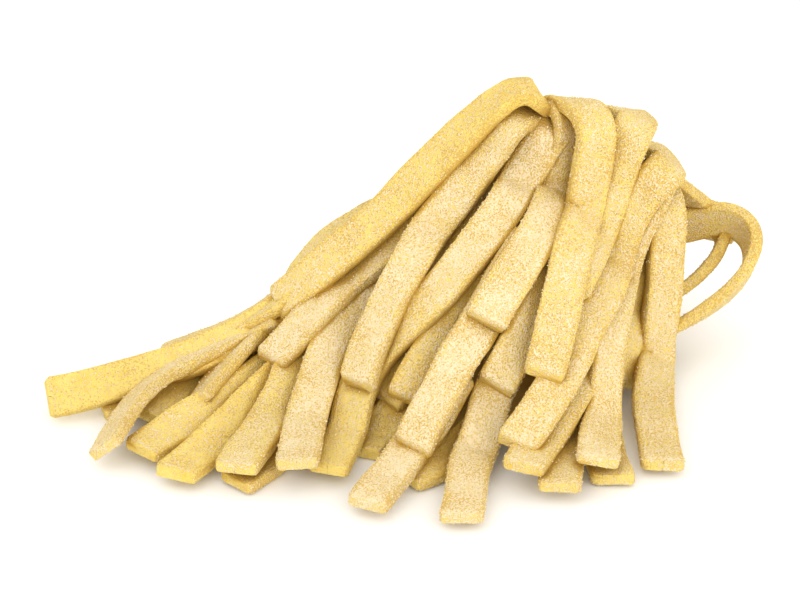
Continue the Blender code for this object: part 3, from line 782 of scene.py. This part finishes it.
def buildGrains(shapes, material):
    # single grains that stick to the noodles, each with five corners and six faces
    draw = np.random.default_rng(semolina["seed"])
    places, ups = [], []
    for shape in shapes:
        verts, outward, sheltered = shape["verts"], shape["outward"], shape["sheltered"]
        rings, ringSize = verts.shape[:2]
        steps = np.linalg.norm(np.roll(verts, -1, axis=1) - verts, axis=2).mean(axis=0)
        tries = rings * semolina["tries"]
        ring = draw.integers(0, rings - 1, tries)
        spot = draw.choice(ringSize, tries, p=steps / steps.sum())
        u, v = draw.random((2, tries, 1))
        after = (spot + 1) % ringSize
        low = verts[ring, spot] * (1 - u) + verts[ring, after] * u
        high = verts[ring + 1, spot] * (1 - u) + verts[ring + 1, after] * u
        place = low * (1 - v) + high * v
        patch = np.array([noise.noise(Vector(p) / semolina["patches"]) for p in place])
        exposed = 1.0 - semolina["avoidShelter"] * sheltered[ring, spot]
        wanted = (shape["dust"][ring] + patch * 0.5) * exposed
        kept = draw.random(tries) < wanted
        places.append(place[kept])
        ups.append(outward[ring, spot][kept])
    places, ups = np.concatenate(places), np.concatenate(ups)
    print("room for", len(places), "grains")
    chosen = draw.permutation(len(places))[:semolina["grains"]]
    places, ups = places[chosen], ups[chosen]
    count = len(places)
    sizes = draw.uniform(*semolina["sizes"], (count, 1, 1))
    corners = np.array([(0, 0, 0.8), (1, 0, 0), (-0.5, 0.87, 0), (-0.5, -0.87, 0), (0, 0, -0.8)])
    corners = corners[None] * draw.uniform(*semolina["stretch"], (count, 5, 1))
    turns = draw.normal(size=(count, 3, 3))
    turns[:, 0] /= np.linalg.norm(turns[:, 0], axis=1)[:, None]
    turns[:, 1] = np.cross(turns[:, 0], turns[:, 1])
    turns[:, 1] /= np.linalg.norm(turns[:, 1], axis=1)[:, None]
    turns[:, 2] = np.cross(turns[:, 0], turns[:, 1])
    verts = places[:, None] + ups[:, None] * sizes * semolina["proud"] + (corners * sizes) @ turns
    faces = np.array([(0, 1, 2), (0, 2, 3), (0, 3, 1), (4, 2, 1), (4, 3, 2), (4, 1, 3)])
    polygons = (faces[None] + 5 * np.arange(count)[:, None, None]).reshape(-1, 3).tolist()
    marks = {"tone": np.repeat(draw.random(count), 5)}
    return meshPiece("semolinaGrains", verts.reshape(-1, 3), polygons, marks, material)


# materials

class Wire:
    # a socket of a shader tree: sums and products of wires add Math nodes to it

    def __init__(self, paint, socket):
        self.paint, self.socket = paint, socket

    def math(self, operation, *values):
        return self.paint.add("Math", {"operation": operation}, dict(enumerate(values)))

    def __add__(self, other):
        return self.math("ADD", self, other)

    def __radd__(self, other):
        return self.math("ADD", other, self)

    def __sub__(self, other):
        return self.math("SUBTRACT", self, other)

    def __rsub__(self, other):
        return self.math("SUBTRACT", other, self)

    def __mul__(self, other):
        return self.math("MULTIPLY", self, other)

    def __rmul__(self, other):
        return self.math("MULTIPLY", other, self)

    def output(self, index):
        # another output of the node that this wire comes from
        return Wire(self.paint, self.socket.node.outputs[index])

    def ramp(self, low, high):
        # 0 below low, 1 above high, smooth between
        return self.paint.add("MapRange", {"interpolation_type": "SMOOTHSTEP"},
                              {"Value": self, "From Min": low, "From Max": high})


class Paint:
    # one material, and the one way its nodes are made

    def __init__(self, name):
        self.material = bpy.data.materials.new(name)
        self.material.use_nodes = True
        self.tree = self.material.node_tree
        self.shader = self.tree.nodes["Principled BSDF"]

    def add(self, kind, settings=None, sockets=None, out=0):
        node = self.tree.nodes.new("ShaderNode" + kind)
        for key, value in (settings or {}).items():
            setattr(node, key, value)
        for key, value in (sockets or {}).items():
            self.feed(node.inputs[key], value)
        return Wire(self, node.outputs[out])

    def feed(self, socket, value):
        if isinstance(value, Wire):
            self.tree.links.new(value.socket, socket)
        else:
            socket.default_value = value

    def mark(self, name):
        # an attribute of the mesh
        return self.add("Attribute", {"attribute_name": name}, out=2)

    def noise(self, place, size, detail):
        # uneven spots of about that size in millimetres
        return self.add("TexNoise", {}, {"Vector": place, "Scale": 1 / (size * mm),
                                         "Detail": detail, "Roughness": 0.6})

    def blend(self, factor, one, other):
        # colour one where the factor is 0, the other where it is 1
        return self.add("Mix", {"data_type": "RGBA"}, {0: factor, 6: one, 7: other}, out=2)

    def finish(self, **sockets):
        for name, value in sockets.items():
            self.feed(self.shader.inputs[name.replace("_", " ")], value)


pastaFinish = {
    "bare": (0.80, 0.61, 0.17, 1.0),
    "deep": (0.78, 0.52, 0.06, 1.0),
    "dusted": (0.80, 0.665, 0.425, 1.0),
    # darker specks of the dough, and partly painted shade: the pasta paint sets more of them in
    # crevices and on the narrow sides
    "pitsAndShade": (0.65, 0.42, 0.10, 1.0),
    # painted shade: the dark brown laid over the dough where the noodles hem each other in
    "paintedCreviceShade": (0.50, 0.29, 0.04, 1.0),
    "grainSize": 0.30,
    "clumpSize": 0.8,
    "patchSize": 3.2,
    "pitSize": 0.34,
    "baldSize": 9.0,                   # of the stretches with few pits
    "rim": 1.5,                        # width of the pale band beside a cut end
    "bumpDepth": 0.25,
    "bumpStrength": 0.8,
    "roughness": 0.88,
    "gloss": 0.25,
}


def pastaPaint():
    look = pastaFinish
    paint = Paint("dustedPasta")
    place = paint.add("TexCoord", out=3)
    dusting = paint.mark("dusting")
    cutEnd = paint.mark("cutEnd")
    sheltered = paint.mark("sheltered")
    flank = paint.mark("flank")
    grain = paint.noise(place, look["grainSize"], 0.0)
    clump = paint.noise(place, look["clumpSize"], 2.0)
    patch = paint.noise(place, look["patchSize"], 3.0)
    rim = (1 - paint.mark("toEnd").ramp(0.5, look["rim"])) * (1 - cutEnd)
    cover = dusting + (patch - 0.5) * 1.3 + rim * 0.35 - cutEnd * 0.2
    cover = cover - sheltered * 0.3 - flank * 0.2
    dust = (grain * 1.6 + clump * 0.5 + cover * 0.7).ramp(1.15, 1.65)
    hollow = paint.noise(place, look["pitSize"], 0.0)
    bald = paint.noise(place, look["baldSize"], 1.0)
    # more pits where the noodle is sheltered and on its narrow sides: painted shade on top of the
    # dough's own specks
    pitsAndShade = hollow + clump * 0.3 + (dusting - 0.5) * 0.1 + (flank + sheltered) * 0.14
    pitsAndShade = (pitsAndShade + (bald - 0.5) * 0.5).ramp(0.72, 0.90) * (1 - cutEnd * 0.7)
    dough = paint.blend(paint.mark("tone") * 0.5 + (patch - 0.5) * 3.2, look["bare"], look["deep"])
    colour = paint.blend(dust, dough, look["dusted"])
    colour = paint.blend(pitsAndShade * 0.9, colour, look["pitsAndShade"])
    # painted shade: the dough turns dark brown in the crevices, by how sheltered each point is
    colour = paint.blend(sheltered.ramp(0.2, 0.9) * 0.85, colour, look["paintedCreviceShade"])
    height = grain + clump * 0.5 + dust * 0.5 - pitsAndShade * 0.3
    bump = paint.add("Bump", {}, {"Height": height, "Strength": look["bumpStrength"],
                                  "Distance": look["bumpDepth"] * mm})
    paint.finish(Base_Color=colour, Roughness=look["roughness"], Normal=bump,
                 Specular_IOR_Level=look["gloss"])
    return paint.material


def grainPaint():
    paint = Paint("semolina")
    shade = paint.blend(paint.mark("tone"), semolina["pale"], semolina["dark"])
    paint.finish(Base_Color=shade, Roughness=0.8, Specular_IOR_Level=0.3)
    return paint.material


core = {
    "along": 0.84,                     # of the CAD mound, to stay well under the noodles
    "across": 0.92,
    "middle": 6.0,                     # what it is shortened towards
    "stations": 60,
    "profilePoints": 31,
    "patches": 300.0,                  # of colour, to a metre
    # dark and light: painted shade, a deep brown well below the pasta's own colour, for what shows
    # through the gaps
    "dark": (0.44, 0.25, 0.04, 1.0),
    "light": (0.60, 0.38, 0.09, 1.0),
}


# the core's colour is painted shade: dark brown patches that stand for the shaded pasta deep in
# the gaps
def coreShadePaint():
    paint = Paint("innerPastaPaintedShade")
    place = paint.add("TexCoord", out=3)
    patch = paint.add("TexNoise", {}, {"Vector": place, "Scale": core["patches"],
                                       "Detail": 3.0})
    paint.finish(Base_Color=paint.blend(patch, core["dark"], core["light"]), Roughness=0.9)
    return paint.material


def buildCore(material):
    mesh = moundMesh(core["stations"], core["profilePoints"], core["across"])
    verts = np.array([tuple(vertex.co) for vertex in mesh.verts])
    verts[:, 0] = core["middle"] + (verts[:, 0] - core["middle"]) * core["along"]
    polygons = [tuple(vertex.index for vertex in face.verts) for face in mesh.faces]
    mesh.free()
    return meshPiece("noodleCore", verts, polygons, {}, material)


# studio

studio = {
    "floorSize": 4.0,
    "floorColour": (0.95, 0.95, 0.95, 1.0),
    "sky": 1.17,
    "skyColour": (1.0, 0.98, 0.94, 1.0),
    "key": dict(place=(-0.32, -0.6, 0.75), size=0.6, power=1.2),
    "fill": dict(place=(0.4, -0.8, 0.45), size=0.8, power=3.6),
    "sensor": 36.0,
    "fieldAcross": 160.0,              # millimetres across the picture, at the aim
    "nearest": 0.01,
}


def buildStudio():
    scene = bpy.context.scene
    bpy.ops.mesh.primitive_plane_add(size=studio["floorSize"])
    floor = bpy.context.object
    floor.name = "studioFloor"
    paint = Paint("paleFloor")
    paint.finish(Base_Color=studio["floorColour"], Roughness=0.8, Specular_IOR_Level=0.1)
    floor.data.materials.append(paint.material)
    world = bpy.data.worlds.new("softRoom")
    world.use_nodes = True
    world.node_tree.nodes["Background"].inputs[0].default_value = studio["skyColour"]
    world.node_tree.nodes["Background"].inputs[1].default_value = studio["sky"]
    scene.world = world
    for name in ("key", "fill"):
        wanted = studio[name]
        light = bpy.data.lights.new(name + "Light", "AREA")
        light.energy = wanted["power"]
        light.size = wanted["size"]
        lamp = bpy.data.objects.new(name + "Light", light)
        lamp.location = wanted["place"]
        lamp.rotation_euler = (-lamp.location).to_track_quat("-Z", "Y").to_euler()
        scene.collection.objects.link(lamp)
    scene.view_settings.view_transform = "Standard"


def buildCamera():
    aim, _, toEye = sightFrom(-1)
    eye = (aim + toEye * drawing["distance"] - middle) * mm
    lens = bpy.data.cameras.new("photoView")
    lens.sensor_width = studio["sensor"]
    lens.lens = studio["sensor"] * drawing["distance"] / studio["fieldAcross"]
    lens.clip_start = studio["nearest"]
    camera = bpy.data.objects.new("photoView", lens)
    camera.location = eye
    camera.rotation_euler = (-toEye).to_track_quat("-Z", "Y").to_euler()
    bpy.context.scene.collection.objects.link(camera)
    bpy.context.scene.camera = camera


buildCamera()
buildStudio()
print("laying the noodles")
kinds = layEverything()
draw = random.Random(noodleCut["seed"])
for seed, (kind, members) in enumerate(kinds.items()):
    kinds[kind] = [shapeNoodle(noodle, frames, seed * 40 + k, draw)
                   for k, (noodle, frames) in enumerate(members)]
shapes = [shape for members in kinds.values() for shape in members]
heap = BVHTree.FromPolygons(*skinsOf(shapes))
print("finding where the noodles shelter each other")
for shape in shapes:
    shape["sheltered"] = shelterOf(shape["verts"], shape["outward"], shape["tangents"], heap)
dustedPasta = pastaPaint()
pieces = [buildCore(coreShadePaint()), buildGrains(shapes, grainPaint())]
for kind, members in kinds.items():
    pieces.append(buildKind(kind + "Noodles", members, dustedPasta))
for piece in pieces:
    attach(piece, "root")
    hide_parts("noodle_bundle")
